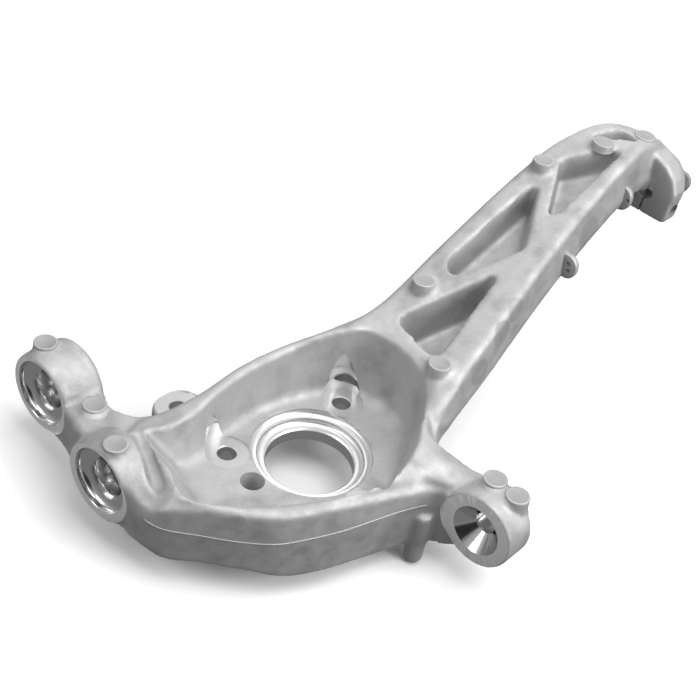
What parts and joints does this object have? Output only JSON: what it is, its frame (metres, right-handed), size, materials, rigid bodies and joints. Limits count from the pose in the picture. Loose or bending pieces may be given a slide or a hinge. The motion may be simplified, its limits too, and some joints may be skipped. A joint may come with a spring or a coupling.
{
  "type": "steering knuckle",
  "caption": "Cast aluminium steering knuckle: dished hub carrier with two ball joint bosses, a steering arm and a long curved neck that ends in a pinch clamp.",
  "frame": {"origin": "centre of the hub bore on the outboard hub seat", "axes": "+Z inboard along the hub axis, +Y up the neck towards the upper clamp, +X towards the steering arm"},
  "size_m": [0.3183, 0.4733, 0.1865],
  "materials": {
    "cast_aluminium": "as cast with turned and milled seats"
  },
  "bodies": {
    "root": {"knuckle": "cast_aluminium"}
  },
  "joints": []
}
